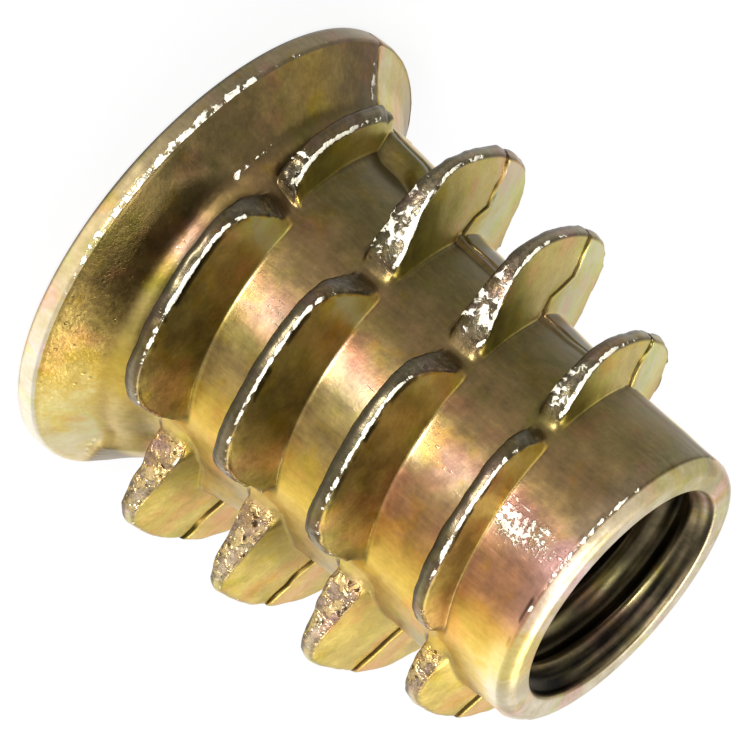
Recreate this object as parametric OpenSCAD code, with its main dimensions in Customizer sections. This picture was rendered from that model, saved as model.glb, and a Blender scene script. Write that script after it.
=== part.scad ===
// Flanged threaded insert for wood, die cast in zinc alloy, for an M6 bolt.
// It stands on its flange with the nose up. The origin is the centre of the
// flange's flat outer face and +Z runs along the axis to the nose.
// The outer thread is right-handed and interrupted, as a die that opens
// sideways leaves it: each turn is four separate fins. A fin's crest is round
// about the axis, and its two nearly parallel ends meet it in large corners.
// The fine thread inside the bore is left plain at its minor diameter.

/* [Overall] */
// overall length from the flange's outer face to the nose
length = 13; // [10.5:0.1:16]

/* [Flange] */
// flange diameter
flange_d = 12; // [11.6:0.05:15]
// height of the flange's straight rim
rim_h = 0.55; // [0.35:0.05:0.8]
// radius on both edges of the rim
rim_edge_r = 0.12; // [0.05:0.01:0.14]
// diameter of the neck at the foot of the flange's sloping underside
neck_d = 9.5; // [9:0.1:10]
// height of that foot above the flange's outer face
neck_z = 1.44; // [1.2:0.02:1.6]

/* [Core] */
// core diameter beside the neck
core_d = 8.1; // [7.7:0.05:8.6]
// core diameter over the straight part behind the nose
nose_d = 7.35; // [7.2:0.05:7.7]
// height at which the core's taper from the neck starts
core_z = 2.1; // [1.9:0.05:2.3]
// length of the core's taper
core_taper_l = 6.6; // [4:0.1:8]
// radius on the nose's outer edge
nose_edge_r = 0.36; // [0.1:0.02:0.4]

/* [Outer thread] */
// axial distance from one turn to the next
thread_pitch = 2.65; // [2.3:0.01:3.2]
// height of the first fin above the flange's outer face
thread_z = 1.9; // [1.6:0.05:2.1]
// crest diameter of the first full fin
crest_d = 12; // [10.6:0.1:12.2]
// how much the crest diameter shrinks over each millimetre of height
crest_taper = 0.155; // [0:0.005:0.3]
// crest diameter of the low fin that comes out of the neck
start_crest_d = 9.9; // [9.6:0.1:10.8]
// crest diameter of the low turn that leads into the wood
lead_crest_d = 9.66; // [8.8:0.02:10.2]
// how much lower the fins of one quarter stand than the rest
low_quarter_drop = 0.25; // [0:0.05:0.4]
// width of a fin's crest along the axis
crest_w = 0.34; // [0.2:0.02:0.5]
// slope of a fin's side that faces the nose
nose_flank_deg = 14; // [8:1:20]
// slope of a fin's side that faces the flange
flange_flank_deg = 4; // [3:1:14]
// angle of bare core between two fins of one turn
fin_gap_deg = 3.5; // [3:0.5:14]
// how much earlier every second fin ends than the others
early_end_deg = 6; // [0:0.5:8]
// how far a fin's ends lean towards each other on the way out
end_draft_deg = 4; // [0:0.5:8]
// radius of the corners between a fin's crest and its ends
fin_corner_r = 1.2; // [0.6:0.1:1.6]
// direction of the middle of the first fin
first_fin_deg = -161.6; // [-180:0.1:180]
// plain length of core left below the nose
nose_plain_l = 1; // [0.9:0.1:3]

/* [Parting strips] */
// angular width of the raised strip along each side of the core
strip_deg = 24; // [10:1:30]
// direction of the middle of the first strip
strip_at_deg = 12; // [-20:1:20]
// how far a strip stands out of the straight part of the core
strip_h = 0.06; // [0.04:0.01:0.15]
// how far a strip stands out of the core beside the neck
strip_neck_h = 0.45; // [0.2:0.01:0.5]

/* [Bore] */
// diameter of the plain bore, the minor diameter of the inner thread
bore_d = 5; // [4.4:0.05:5.4]
// diameter of the bore's mouth in the nose
mouth_d = 5.84; // [5.5:0.02:6]

/* [Drive socket] */
// distance across the flats of the six-sided socket
socket_af = 6.1; // [5.6:0.05:6.4]
// depth of the socket
socket_depth = 4.6; // [3:0.1:5.5]
// diameter of the bevel round the socket's mouth
socket_mouth_d = 7.3; // [6.9:0.05:7.6]

/* [Hidden] */
$fn = 96;
eps = 0.01;

// the fins of one turn and their rise from one to the next
fins_per_turn = 4;
fin_step = thread_pitch / fins_per_turn;
fin_count = floor((length - nose_plain_l - thread_z) / fin_step) + 1;
// the fins of the low lead-in turn, and the one before it that steps down
lead_fins = 4;
// the quarter with the lower fins
low_quarter = 1;
// the inner radius that every fin starts from, well inside the core
fin_root_r = 3.3;
// the lean of a fin's plane that follows the thread's rise
fin_lean = atan(thread_pitch / (2 * PI * (core_d / 2 + crest_d / 2) / 2));
// the last fin, lower still, where the thread runs out
runout_drop = 0.55;

// core radius at a height above the neck
function core_r(z) =
    z < core_z ? core_d / 2 :
    z < core_z + core_taper_l ?
        core_d / 2 - (core_d - nose_d) / 2 * (z - core_z) / core_taper_l :
        nose_d / 2;

// height of fin number k
function fin_z(k) = thread_z + k * fin_step;

// crest radius of a full fin at a height
function full_crest_r(z) =
    min(crest_d / 2, crest_d / 2 - crest_taper / 2 * (z - fin_z(2)));

// crest radius of fin number k, from the low start to the lead-in turn
function crest_r(k) =
    (k == 0 ? start_crest_d / 2 :
    k == fin_count - 1 ? lead_crest_d / 2 - runout_drop :
    k >= fin_count - lead_fins ? lead_crest_d / 2 :
    k == fin_count - lead_fins - 1 ?
        (2 * full_crest_r(fin_z(k)) + lead_crest_d / 2) / 3 :
        full_crest_r(fin_z(k)))
    - (k % fins_per_turn == low_quarter ? low_quarter_drop : 0);

// angle from a fin's middle to where its ends meet the core
fin_half_deg = 180 / fins_per_turn - fin_gap_deg / 2;

// distance of the end plane of fin number k from the axis
function end_distance(k) =
    core_r(fin_z(k)) * sin(fin_half_deg + end_draft_deg);

// outline of the flange, the neck, the tapered core and the rounded nose
module body_profile() {
    fr = flange_d / 2;
    polygon([
        [0, 0], [fr - rim_edge_r, 0], [fr, rim_edge_r],
        [fr, rim_h - rim_edge_r], [fr - rim_edge_r, rim_h],
        [neck_d / 2, neck_z], [core_d / 2, core_z],
        [nose_d / 2, core_z + core_taper_l],
        [nose_d / 2, length - nose_edge_r],
        [nose_d / 2 - nose_edge_r, length], [0, length]
    ]);
    for (z = [rim_edge_r, rim_h - rim_edge_r])
        translate([fr - rim_edge_r, z]) circle(r = rim_edge_r);
    translate([nose_d / 2 - nose_edge_r, length - nose_edge_r])
        circle(r = nose_edge_r);
}

// flange, neck, core and nose as one turned body
module body() {
    rotate_extrude() body_profile();
}

// section of a raised strip, deepest beside the neck and shallow at the nose
module strip_profile() {
    nr = nose_d / 2 + strip_h;
    polygon([
        [fin_root_r, neck_z - 0.6],
        [neck_d / 2, neck_z - 0.1],
        [core_d / 2 + strip_neck_h, core_z + 0.1],
        [core_d / 2 + strip_neck_h, core_z + 1],
        [core_r(core_z + 3.3) + strip_h + 0.1, core_z + 3.3],
        [nr, core_z + core_taper_l],
        [nr, length - 1.2],
        [nose_d / 2 - 0.02, length - nose_edge_r - 0.1],
        [fin_root_r, length - nose_edge_r - 0.1]
    ]);
}

// the two raised strips where the halves of the die met
module strips() {
    for (a = [0, 180])
        rotate([0, 0, strip_at_deg + a - strip_deg / 2])
            rotate_extrude(angle = strip_deg) strip_profile();
}

// section of a fin: two sloping sides that run from inside the core to a
// little past the crest radius, where they are crest_w apart
module fin_profile(r) {
    lee = tan(flange_flank_deg);
    nose = tan(nose_flank_deg);
    in = r - fin_root_r;
    out = 0.3;
    polygon([
        [fin_root_r, -crest_w / 2 - in * lee],
        [r + out, -crest_w / 2 + out * lee],
        [r + out, crest_w / 2 - out * nose],
        [fin_root_r, crest_w / 2 + in * nose]
    ]);
}

// one half of a fin seen along the axis, from its middle to an end plane at
// distance d from the axis that is turned back by an angle
module fin_half(r, d, turn) {
    c = min(fin_corner_r, d / 2);
    x = sqrt(pow(r - c + eps, 2) - pow(d - c, 2));
    intersection() {
        circle(r = r);
        rotate([0, 0, -turn]) {
            square([x, d]);
            translate([x, d - c]) circle(r = c);
            polygon([[0, 0], [2 * r, 0], [2 * r, 2 * r * (d - c) / x]]);
        }
    }
}

// outline of fin number k seen along the axis
module fin_outline(k) {
    early = k % 2 == 1 ? early_end_deg : 0;
    fin_half(crest_r(k), end_distance(k), end_draft_deg + early);
    mirror([0, 1]) fin_half(crest_r(k), end_distance(k), end_draft_deg);
}

// fin number k: a leaning ring cut to the fin's outline
module fin(k) {
    r = crest_r(k);
    rotate([0, 0, first_fin_deg + k * 360 / fins_per_turn])
        translate([0, 0, fin_z(k)])
            intersection() {
                rotate([fin_lean, 0, 0])
                    rotate([0, 0, -64])
                        rotate_extrude(angle = 128) fin_profile(r);
                translate([0, 0, -2])
                    linear_extrude(height = 4) fin_outline(k);
            }
}

// bore, its mouth in the nose, the six-sided socket and its bevel
module hollow() {
    mouth_h = (mouth_d - bore_d) / 2;
    corner_d = socket_af / cos(30);
    bevel_h = (socket_mouth_d - socket_af) / 2 / 2;
    translate([0, 0, socket_depth - eps])
        cylinder(d = bore_d, h = length - socket_depth + 1);
    translate([0, 0, length - mouth_h])
        cylinder(d1 = bore_d, d2 = mouth_d, h = mouth_h);
    translate([0, 0, length - eps]) cylinder(d = mouth_d, h = 1);
    translate([0, 0, -1])
        cylinder(d = corner_d, h = socket_depth + 1, $fn = 6);
    cylinder(d1 = socket_mouth_d, d2 = socket_af, h = bevel_h);
    translate([0, 0, -1]) cylinder(d = socket_mouth_d, h = 1 + eps);
}

module insert() {
    color([0.62, 0.55, 0.36])
        difference() {
            union() {
                body();
                strips();
                for (k = [0 : fin_count - 1]) fin(k);
            }
            hollow();
        }
}

insert();
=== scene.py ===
"""Looks of a flanged threaded insert, die cast in zinc alloy and yellow chromated.

The insert is one closed skin. Its outside is a sheet whose rows follow the coarse
interrupted thread, so that every fin has its own flanks, crest and filleted foot.
Its inside is a second sheet whose rows follow the fine thread of the bore. Lengths
are in millimetres and angles in degrees until the mesh is made, which is in metres.
"""

import logging
import math
from dataclasses import dataclass, field
from enum import Enum
from itertools import product
from typing import Any, Callable

import bpy
import numpy as np
from mathutils import Matrix, Vector

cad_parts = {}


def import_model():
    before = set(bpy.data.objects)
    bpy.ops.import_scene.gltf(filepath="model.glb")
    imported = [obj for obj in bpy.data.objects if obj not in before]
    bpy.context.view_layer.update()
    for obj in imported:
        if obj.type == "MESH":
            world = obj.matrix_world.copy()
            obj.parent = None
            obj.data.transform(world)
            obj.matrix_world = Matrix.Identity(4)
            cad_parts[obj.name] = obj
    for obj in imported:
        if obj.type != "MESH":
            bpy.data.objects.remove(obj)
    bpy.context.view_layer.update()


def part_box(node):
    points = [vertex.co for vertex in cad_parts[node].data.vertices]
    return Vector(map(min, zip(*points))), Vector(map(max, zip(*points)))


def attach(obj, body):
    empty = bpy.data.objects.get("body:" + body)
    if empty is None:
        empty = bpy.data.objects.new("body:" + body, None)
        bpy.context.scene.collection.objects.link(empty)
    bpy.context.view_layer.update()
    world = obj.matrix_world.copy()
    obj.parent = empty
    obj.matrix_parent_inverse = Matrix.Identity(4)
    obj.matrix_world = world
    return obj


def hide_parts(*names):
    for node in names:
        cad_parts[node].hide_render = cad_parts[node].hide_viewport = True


Array = np.ndarray
Edge = tuple[Array, Array]  # radius and height at every column
Knots = tuple[tuple[float, float], ...]
MM = 0.001
FINS = 4  # fins of one turn of the coarse thread
FIN_DEG = 360.0 / FINS
LOG = logging.getLogger("insert")

# heights and angles of the left gusset's near edge on the flange's slope
GUSSET_EDGE: Knots = ((0.58, 13.5), (1.04, 4.0), (1.33, -4.0), (1.5, -4.0), (2.2, -3.5))


class Zone(Enum):
    """Named parts of the skin, each with a share at every vertex.

    END runs from -1 to 1, for a fin's two ends, and PLAIN is what the others leave.
    """

    RIM = "rim"
    RIM_EDGE = "rim_edge"
    UNDER = "under"
    CREST = "crest"
    BROW = "brow"
    LEE = "lee"
    FLANK = "flank"
    END = "end"
    # a dark broken line of painted shade under the fins' nose-side edges
    EDGE_SHADE = "nick"
    FOOT = "foot"
    CRACK = "crack"
    RING = "ring"
    BORE = "bore"
    PLAIN = "plain"


class Paint(Enum):
    """Attributes of the mesh that the finish reads."""

    TONE = "tone"
    BLUSH = "blush"
    LEAF = "leaf"
    GILT = "gilt"
    # beads of painted highlight along edges
    PAINTED_GLINT = "painted_glint"
    PITTED = "pitted"
    # bare metal grey, also laid on the band of painted highlight
    BARE_AND_HIGHLIGHT = "bare"
    # where flecks of painted highlight lie
    HIGHLIGHT_SPARK = "highlight_spark"


def ease(low: float, high: float, x: Array) -> Array:
    """Smooth step from 0 at low to 1 at high: 3t squared less 2t cubed.

    Args:
        low: where the step starts.
        high: where the step ends, which may be under low.
        x: the values to step.

    Returns:
        The step at each value.
    """
    t = np.clip((x - low) / (high - low), 0.0, 1.0)
    return t * t * (3.0 - 2.0 * t)


def soft_max(a: Array, b: Array | float, k: float) -> Array:
    """Larger of two values, rounded where they are within k of each other.

    Args:
        a: first values.
        b: second values.
        k: width of the rounding.

    Returns:
        The larger value plus h squared times k / 4, with h the share left of k.
    """
    h = np.clip(k - np.abs(a - b), 0.0, None) / k
    return np.maximum(a, b) + h * h * k / 4.0


def soft_min(a: Array, b: Array | float, k: float) -> Array:
    """Smaller of two values, rounded where they are within k of each other."""
    return -soft_max(-a, -b, k)


def turned(angle: Array, about: float) -> Array:
    """Angle from about, brought into -180 to 180."""
    return (angle - about + 180.0) % 360.0 - 180.0


def bell(x: Array, width: float) -> Array:
    """Bell curve: e to the minus square of x over width."""
    return np.exp(-((x / width) ** 2))


def line(x: Array, knots: Knots) -> Array:
    """Value at each x: straight between (x, value) knots."""
    return np.interp(x, *zip(*knots))


def around(alpha: Array, knots: Knots) -> Array:
    """Value at each angle: straight between (angle, value) knots, all the way round.

    Args:
        alpha: angles in degrees.
        knots: angles and values, the angles rising.

    Returns:
        The value at each angle.
    """
    return np.interp(alpha, *zip(*knots), period=360.0)


def laid(base: Array, share: Array, value: Array | float) -> Array:
    """Base with value laid over it by share, which is held to 0 to 1."""
    return base + (value - base) * np.clip(share, 0.0, 1.0)


@dataclass(frozen=True)
class CastNoise:
    """Smooth random relief of a cast surface."""

    seed: int
    cells: int = 32

    def at(self, points: Array, size: float) -> Array:
        """Random values on a cube lattice, blended along each axis by a smooth step.

        Args:
            points: places, with x, y and z last.
            size: lattice spacing.

        Returns:
            Values from -1 to 1.
        """
        table = np.random.default_rng(self.seed).uniform(-1.0, 1.0, (self.cells,) * 3)
        place = points / size + 0.37 * self.seed
        corner = np.floor(place)
        f = place - corner
        f = f * f * (3.0 - 2.0 * f)
        i = corner.astype(int) % self.cells
        j = (i + 1) % self.cells
        total = np.zeros(points.shape[:-1])
        for ends in product((0, 1), repeat=3):
            x, y, z = ((j if end else i)[..., axis] for axis, end in enumerate(ends))
            weight = np.prod([f[..., axis] if end else 1.0 - f[..., axis]
                              for axis, end in enumerate(ends)], axis=0)
            total += weight * table[x, y, z]
        return total

    def layers(self, points: Array, size: float, count: int) -> Array:
        """Sum of lattices, each half the size and half the height of the last."""
        return sum(self.at(points, size / 2**n) / 2**n for n in range(count))


@dataclass(frozen=True)
class Parting:
    """Where the two halves of the die met, and what that left on the casting."""

    cracks: tuple[float, float] = (19.0, 191.0)
    step_z: float = 0.075
    step_r: float = 0.03
    groove_deg: float = 0.42
    groove: float = 0.07
    edge_cut: float = 0.05
    sunk: float = 0.1

    def far(self, alpha: Array) -> Array:
        """1 over the far half of the casting and 0 over the near one."""
        turn = alpha % 360.0
        return ease(-0.25, 0.25, turn - self.cracks[0]) * ease(
            0.25, -0.25, turn - self.cracks[1])

    def crack(self, alpha: Array) -> Array:
        """Depth share of the groove along both parting lines: a bell at each."""
        return sum(bell(turned(alpha, c), self.groove_deg) for c in self.cracks)

    def sway(self, alpha: Array, r: Array, z: Array) -> Array:
        """How far the casting's parting lines wander from straight, in degrees.

        Noise over radius and height, slower on the first line, and on the second line a
        bend to the near side above each fin's foot. Both fade out away from the line.

        Args:
            alpha: angles of the columns.
            r: radius at every vertex.
            z: height at every vertex.

        Returns:
            Angle to add at every vertex.
        """
        place = np.stack([r, z, np.zeros_like(r)], axis=-1)
        noise = CastNoise(5).layers(place, 0.34, 3)
        bend = ease(4.75, 4.1, r) * ease(3.0, 4.0, z) * (9.5 - 6.0 * ease(7.5, 10.0, z))
        slow = CastNoise(6).layers(place, 0.6, 2)
        left = (0.7 + 1.5 * ease(4.2, 4.8, r)) * slow * bell(turned(alpha, self.cracks[0]), 7.0)
        right = turned(alpha, self.cracks[1])
        return left + 0.7 * noise * bell(right, 4.0) + bend * bell(right, 12.0)

    def height(self, alpha: Array, z: Array) -> Array:
        """How far the far half stands out of the near one.

        It stands out by a small step on the core, and is sunk on the flange's slope
        and, beside the second parting line, at the nose.

        Args:
            alpha: angles about the axis.
            z: heights.

        Returns:
            The step at each place.
        """
        sunk = self.sunk * ease(8.2, 10.5, z) * bell(turned(alpha, 178.0), 26.0)
        return self.far(alpha) * (self.step_r - 0.07 * ease(1.5, 0.9, z) - sunk)


@dataclass(frozen=True)
class Wall:
    """Flange, neck, core and nose: the turned body under the thread."""

    rim_r: float
    length: float
    rim_h: float = 0.55
    rim_edge_r: float = 0.12
    neck_r: float = 4.75
    neck_z: float = 1.44
    core_r: float = 4.05
    core_z: float = 2.1
    nose_r: float = 3.675
    taper_l: float = 6.6
    nose_edge_r: float = 0.3
    web_deg: float = 12.0
    web_half_deg: float = 12.0
    left_web: Knots = ((0.5, 5.98), (0.9, 5.62), (1.34, 5.2), (2.2, 4.53), (3.4, 4.45), (4.6, 4.2),
                       (5.4, 4.06), (8.7, 3.76), (11.8, 3.735), (12.4, 3.6))
    right_web: Knots = ((2.1713, 4.62), (2.2, 4.6), (3.4, 4.5), (4.6, 4.1), (5.4, 3.98),
                        (8.7, 3.73), (11.8, 3.69), (12.4, 3.6))

    @property
    def slope_start(self) -> tuple[float, float]:
        """Radius and height where the rim's rounded edge meets the slope."""
        return (self.rim_r - 0.046, self.rim_h - 0.025)

    def rim_edge(self, deg: float, z: float) -> tuple[float, float]:
        """Point of a rounded edge of the rim, deg up from level about a centre at z."""
        a, r = math.radians(deg), self.rim_edge_r
        return self.rim_r - r + r * math.cos(a), z + r * math.sin(a)

    @property
    def nose_start(self) -> float:
        """Height where the nose's rounded edge begins."""
        return self.length - self.nose_edge_r

    def radius(self, z: Array) -> Array:
        """Radius of the turned body: its straight outline under a running mean.

        Args:
            z: heights between the rim and the nose's rounded edge.

        Returns:
            The radius at each height.
        """
        r0, z0 = self.slope_start
        points = (
            (2 * z0 - self.neck_z, 2 * r0 - self.neck_r), (z0, r0),
            (0.5 * (z0 + self.neck_z), 0.5 * (r0 + self.neck_r) - 0.05),
            (self.neck_z + 0.01, self.neck_r + 0.01), (self.neck_z + 0.34, self.neck_r - 0.16),
            (self.core_z + 0.12, self.core_r + 0.12), (self.core_z + 0.4, self.core_r - 0.02),
            (self.core_z + self.taper_l, self.nose_r), (self.length + 1, self.nose_r),
        )
        step, reach = 0.01, 15
        heights = np.arange(-0.3, self.length + 1, step)
        outline = line(heights, points)
        spread = bell(np.arange(-reach, reach + 1) * step, 0.05)
        soft = np.convolve(np.pad(outline, reach, mode="edge"), spread / spread.sum(), "valid")
        lost = np.interp(z0, heights, outline) - np.interp(z0, heights, soft)
        return np.interp(z, heights, soft + lost * bell(heights - z0, 0.1))

    def web(self, alpha: Array, z: Array, parting: Parting) -> Array:
        """Radius of the raised strips along the two parting lines.

        A strip's outline falls from a gusset on the slope to a thin web up the core.
        The left one rises slowly on its near side and falls again where the die
        parted. The right one is a rounded ridge beside the neck and a low ledge above
        it.

        Args:
            alpha: angles about the axis.
            z: heights.
            parting: where the halves of the die met.

        Returns:
            The strip's radius, well under the core's where there is none.
        """
        body = self.radius(z)
        left_r = line(z, self.left_web)
        left = turned(alpha, self.web_deg)
        right = turned(alpha, parting.cracks[1])
        side = self.web_half_deg
        low_edge = line(z, GUSSET_EDGE) - self.web_deg
        wide = line(z, ((1.5, 2.5), (2.2, 8.5)))
        near = ease(low_edge - wide, low_edge + wide, left)
        parted = ease(5.0, 9.0, left)
        low = left_r - 0.24 * ease(2.4, 1.2, z) - 0.08
        strip = (left_r - body) * near * (1.0 - parted)
        strip = strip + (low - body) * parted * ease(side + 5.0, side - 1.0, left)
        beside = ease(8.0, 4.0, right) * ease(-side - 4.0, -side, right)
        return body + strip + (line(z, self.right_web) - body) * beside

    def skin(self, alpha: Array, z: Array, parting: Parting) -> Array:
        """Radius of the body with its strips and parting lines.

        Args:
            alpha: angles about the axis.
            z: heights.
            parting: where the halves of the die met.

        Returns:
            The larger of body and strip, less the groove along each parting line.
        """
        out = soft_max(self.radius(z), self.web(alpha, z, parting), 0.05)
        fade = ease(self.nose_start + 0.05, self.nose_start - 0.4, z)
        groove = parting.groove * (1.0 + ease(1.5, 0.9, z)) * parting.crack(alpha)
        return out + parting.height(alpha, z) - groove * fade


@dataclass(frozen=True)
class FinRows:
    """Edges of the fins' section along one turn, for every column of the skin."""

    middle: Array
    height: Array
    crest_r: Array
    full_r: Array
    flat: Array
    end: Array


@dataclass(frozen=True)
class OuterThread:
    """Coarse interrupted thread: sixteen fins, four to a turn."""

    pitch: float = 2.65
    first_z: float = 1.9
    first_deg: float = -161.6
    crest_r: float = 6.0
    taper: float = 0.0775
    start_r: float = 4.95
    lead_r: float = 4.83
    low_drop: float = 0.25
    runout_drop: float = 0.55
    crest_w: float = 0.34
    nose_flank: float = 14.0
    lee_flank: float = 4.0
    half_deg: float = 43.25
    early_deg: float = 4.5
    draft_deg: float = 4.0
    end_corner_r: float = 1.2
    lean: float = 0.394
    turns: int = 4
    corner_r: float = 0.10
    foot_r: float = 0.07

    @property
    def seam(self) -> float:
        """Angle of the gap between the last fin of a turn and the first of the next."""
        return self.first_deg - FIN_DEG / 2

    def fin_z(self, k: Array) -> Array:
        """Height of fin number k."""
        return self.first_z + k * self.pitch / FINS

    def fin_r(self, k: Array) -> Array:
        """Crest radius of fin number k.

        Full fins shrink evenly with height, the first comes out of the neck, the last
        four lead into the wood, and one quarter's fins stand lower than the rest.

        Args:
            k: fin numbers, from 0.

        Returns:
            The crest radius of each.
        """
        z = self.fin_z(k)
        last = FINS * self.turns - 1
        full = np.minimum(self.crest_r, self.crest_r - self.taper * (z - self.fin_z(2)))
        r = np.where(k > last - FINS, self.lead_r, full)
        r = np.where(k == last - FINS, (2 * full + self.lead_r) / 3, r)
        r = np.where(k == last, self.lead_r - self.runout_drop, r)
        r = np.where(k == 0, self.start_r, r)
        r = np.where(k == last - 1, r - 0.08, r)
        return r - np.where(k % FINS == 1, self.low_drop, 0.0)

    def outline(self, k: Array, delta: Array, base_r: Array) -> Array:
        """Radius of the fins' outline, seen along the axis.

        A crest is round about the axis. It meets two end planes, each turned back by
        the draft, in corners, which are arcs that touch both.

        Args:
            k: fin numbers.
            delta: angles from the fins' middles.
            base_r: radius of the body at the fins' height.

        Returns:
            The outline's radius at each angle.
        """
        own, late = self.fin_r(k), delta > 0
        odd, first = late & (k % 2 == 1), ~late & (k % FINS == 0)
        draft = self.draft_deg + np.where(odd, self.early_deg, 0) - np.where(first, 3.0, 0)
        more = np.select([odd, first, late], [-1.4, -1.5, 1.2], 0.0)
        corner = self.end_corner_r + np.select([odd, late, k % FINS == 2], [0.3, 0.4, -0.3], 0.0)
        plane_d = base_r * np.sin(np.radians(self.half_deg + draft + more))
        back, side = own - corner, plane_d - corner
        hub = np.sqrt(back**2 - side**2)
        swing = np.radians(np.abs(delta) + draft)
        off = swing - np.arctan2(side, hub)
        arc = back * np.cos(off) + np.sqrt(np.maximum(corner**2 - (back * np.sin(off)) ** 2, 0))
        plane = plane_d / np.sin(np.maximum(swing, 0.05))
        return np.where(off < 0, own, np.where(swing < np.arctan2(plane_d, hub), arc, plane))

    def along(self, alpha: Array, turn: int, wall: Wall, parting: Parting) -> FinRows:
        """Works out one turn's fins at every angle.

        A fin's middle lies in a plane that leans with the thread's rise. In the seam's
        gap it falls back by one pitch, so that the rows close.

        Args:
            alpha: angles of the columns, from the seam on.
            turn: number of the turn, from 0.
            wall: the body that the fins stand on.
            parting: where the halves of the die met.

        Returns:
            The fins' edges at every column.
        """
        along, half = alpha - self.seam, FIN_DEG / 2
        quarter = np.clip(np.floor(along / FIN_DEG), 0, FINS - 1).astype(int)
        delta = along - half - FIN_DEG * quarter
        k, k_first = FINS * turn + quarter, FINS * turn
        k_last = k_first + FINS - 1
        own = self.fin_r(k)
        beside = k + np.where(delta > 0, 1, -1)
        other = self.fin_r(np.clip(beside, 0, FINS * self.turns - 1))
        closing = 0.5 * (self.fin_r(np.array(k_first)) + self.fin_r(np.array(k_last)))
        target = np.where((beside < k_first) | (beside > k_last), closing, (own + other) / 2)
        full_r = own + (target - own) * ease(half - 3.5, half, np.abs(delta))

        outline = self.outline(k, delta, wall.radius(self.fin_z(k)))
        sine = np.sin(np.radians(delta))
        leaning = self.lean * sine
        helix = self.pitch * delta / 360.0
        rise = leaning + (helix - leaning) * ease(half - 5.0, half, np.abs(delta))
        window = 3.1
        drop = np.where(along > 180.0, -ease(-window, window, along - 360.0),
                        1.0 - ease(-window, window, along))
        middle = self.fin_z(k) + rise + self.pitch * drop + parting.step_z * parting.far(alpha)
        base = wall.skin(alpha, middle, parting)
        over = soft_max(outline - base, 0.0, 0.12)
        over = over * (np.abs(delta) < half - 0.1)
        over = over * np.where(k == 0, ease(-9.0, -4.0, delta), 1.0)
        return FinRows(
            middle=middle, height=over, crest_r=base + over, full_r=full_r,
            flat=ease(0.5, 0.0, over),
            end=np.sign(sine) * ease(0.02, 0.2, own - outline) * ease(0.03, 0.3, over))


@dataclass(frozen=True)
class InnerThread:
    """Fine thread of the bore."""

    pitch: float = 1.0
    minor_r: float = 2.47
    depth: float = 0.46
    mouth_r: float = 2.91
    lip_rows: Knots = ((2.99, 0.0), (2.94, 0.004))
    hidden_deg: float = -90.0
    near_rows: tuple[float, ...] = (0.0, .10, .15, .28, .41, .46, .54, .59, .72, .85, .90)
    deep_rows: tuple[float, ...] = (.10, .28, .45, .55, .72, .90)

    def radius(self, alpha: Array, z: Array, low: float, high: float) -> Array:
        """Radius of the threaded bore: a trapezium wave that climbs one pitch a turn.

        Args:
            alpha: angles about the axis.
            z: heights.
            low: height where the thread starts.
            high: height up to which it is full.

        Returns:
            The radius, with a rounded crest and root and a run-out at the bottom.
        """
        phase = (z / self.pitch - (alpha - self.hidden_deg) / 360.0) % 1.0
        wave = np.clip((1.0 - 2.0 * np.abs(phase - 0.5) - 0.25) / 0.6, 0.0, 1.0)
        wave = soft_min(soft_max(wave, 0.02, 0.12), 0.98, 0.12)
        run = ease(low, low + 0.6, z)
        fade = 1.0 - 0.25 * ease(high - 0.5, high + 0.6, z)
        return self.minor_r + self.depth * wave * run * fade


@dataclass(frozen=True)
class Socket:
    """Six-sided drive socket in the flange."""

    flats: float = 6.1
    depth: float = 4.6
    mouth_r: float = 3.65

    def radius(self, alpha: Array) -> Array:
        """Radius of the six-sided outline, with a corner at angle 0."""
        off = (alpha + 30.0) % 60.0 - 30.0
        return self.flats / 2 / np.cos(np.radians(30.0 - np.abs(off)))


@dataclass
class Sheet:
    """Rows of one part of the skin, gathered from the flange up and then back down."""

    alpha: Array
    sway: Callable[[Array, Array, Array], Array] | None = None
    crack: Array | float = 0.0
    r: list[Array] = field(default_factory=list)
    z: list[Array] = field(default_factory=list)
    zones: dict[Zone, list[Array]] = field(default_factory=dict)

    def add(self, r: Array | float, z: Array | float, **zones: Array | float) -> None:
        """Adds a row.

        Args:
            r: radius at every column.
            z: height at every column.
            zones: share of each named zone at every column. Where not given, the
                crack is the sheet's and the others are 0.
        """
        full = np.ones_like(self.alpha)
        self.r.append(r * full)
        self.z.append(z * full)
        zones.setdefault(Zone.CRACK.value, self.crack)
        for zone in Zone:
            self.zones.setdefault(zone, []).append(zones.get(zone.value, 0.0) * full)

    def between(self, a: Edge, b: Edge, shares: tuple[float, ...], **zones: Array | float) -> None:
        """Adds rows on the straight line from a to b, at the given shares of the way."""
        for t in shares:
            self.add(a[0] + (b[0] - a[0]) * t, a[1] + (b[1] - a[1]) * t, **zones)

    def corner(self, a: Edge, mid: Edge, b: Edge, shares: tuple[float, ...],
               **zones: Array | float) -> None:
        """Adds rows round a corner: a quadratic curve from a to b, pulled to mid."""
        for t in shares:
            p, q, s = (1 - t) ** 2, 2 * t * (1 - t), t * t
            self.add(p * a[0] + q * mid[0] + s * b[0], p * a[1] + q * mid[1] + s * b[1], **zones)

    def points(self) -> Array:
        """Places of all vertices, rows first."""
        r, z = np.array(self.r), np.array(self.z)
        alpha = np.broadcast_to(self.alpha, r.shape)
        turn = np.radians(alpha + (self.sway(alpha, r, z) if self.sway else 0.0))
        return np.stack([r * np.cos(turn), r * np.sin(turn), z], axis=-1)


def toward(a: Edge, b: Edge, reach: float) -> Edge:
    """The point at most reach from a towards b, and never past 0.45 of the way."""
    gap = np.hypot(b[0] - a[0], b[1] - a[1])
    share = np.minimum(reach / np.maximum(gap, 1e-6), 0.45)
    return a[0] + (b[0] - a[0]) * share, a[1] + (b[1] - a[1]) * share


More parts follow.
